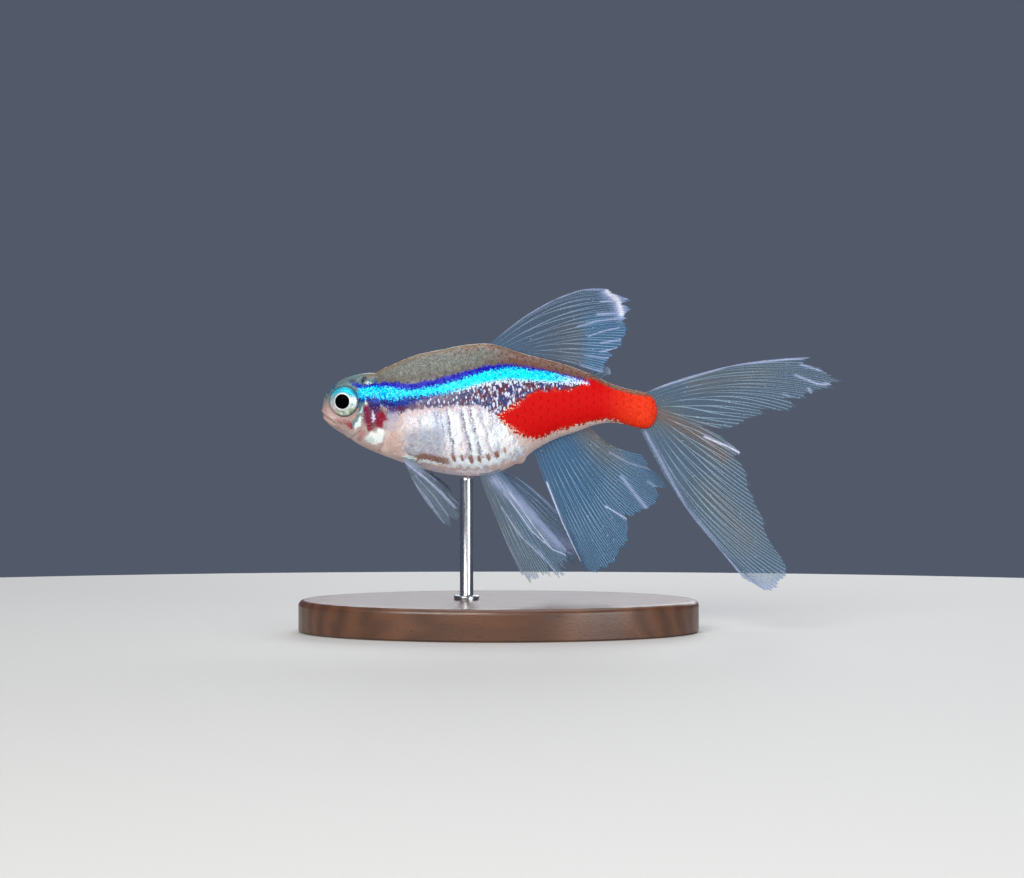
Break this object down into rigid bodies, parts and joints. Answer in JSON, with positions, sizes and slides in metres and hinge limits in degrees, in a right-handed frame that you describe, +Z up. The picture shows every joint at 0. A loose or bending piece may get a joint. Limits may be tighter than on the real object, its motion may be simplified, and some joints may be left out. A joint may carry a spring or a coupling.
{
  "type": "display fish model",
  "caption": "Life-size still model of a long-finned neon tetra with blue stripe and red tail half, held over an oval wooden base by a thin steel pin.",
  "frame": {"origin": "centre of the oval base's flat underside", "axes": "+Z up; +X from the fish's snout towards its tail; -Y is the side of the fish's left flank, the side that is seen first"},
  "size_m": [0.0408, 0.018, 0.0257],
  "materials": {
    "skin": "pearly painted skin: olive back, blue stripe, silver belly",
    "tail_skin": "the skin's red stretch, on the tail stalk",
    "gill_plate": "silvery translucent gill cover",
    "fin_membrane": "clear blue-grey membrane with pale rays",
    "eye": "wet eye, pearly blue-green ring round a black pupil",
    "wood": "oiled dark walnut",
    "steel": "satin"
  },
  "bodies": {
    "root": {"head": "skin", "torso": "skin", "tail_stalk": "tail_skin", "gill_cover_left": "gill_plate", "gill_cover_right": "gill_plate", "eye_left": "eye", "eye_right": "eye", "dorsal_fin": "fin_membrane", "adipose_fin": "fin_membrane", "tail_fin_upper_lobe": "fin_membrane", "tail_fin_lower_lobe": "fin_membrane", "anal_fin": "fin_membrane", "pelvic_fin_left": "fin_membrane", "pelvic_fin_right": "fin_membrane", "pectoral_fin_left": "fin_membrane", "pectoral_fin_right": "fin_membrane", "stand_base": "wood", "stand_pin": "steel"}
  },
  "joints": []
}
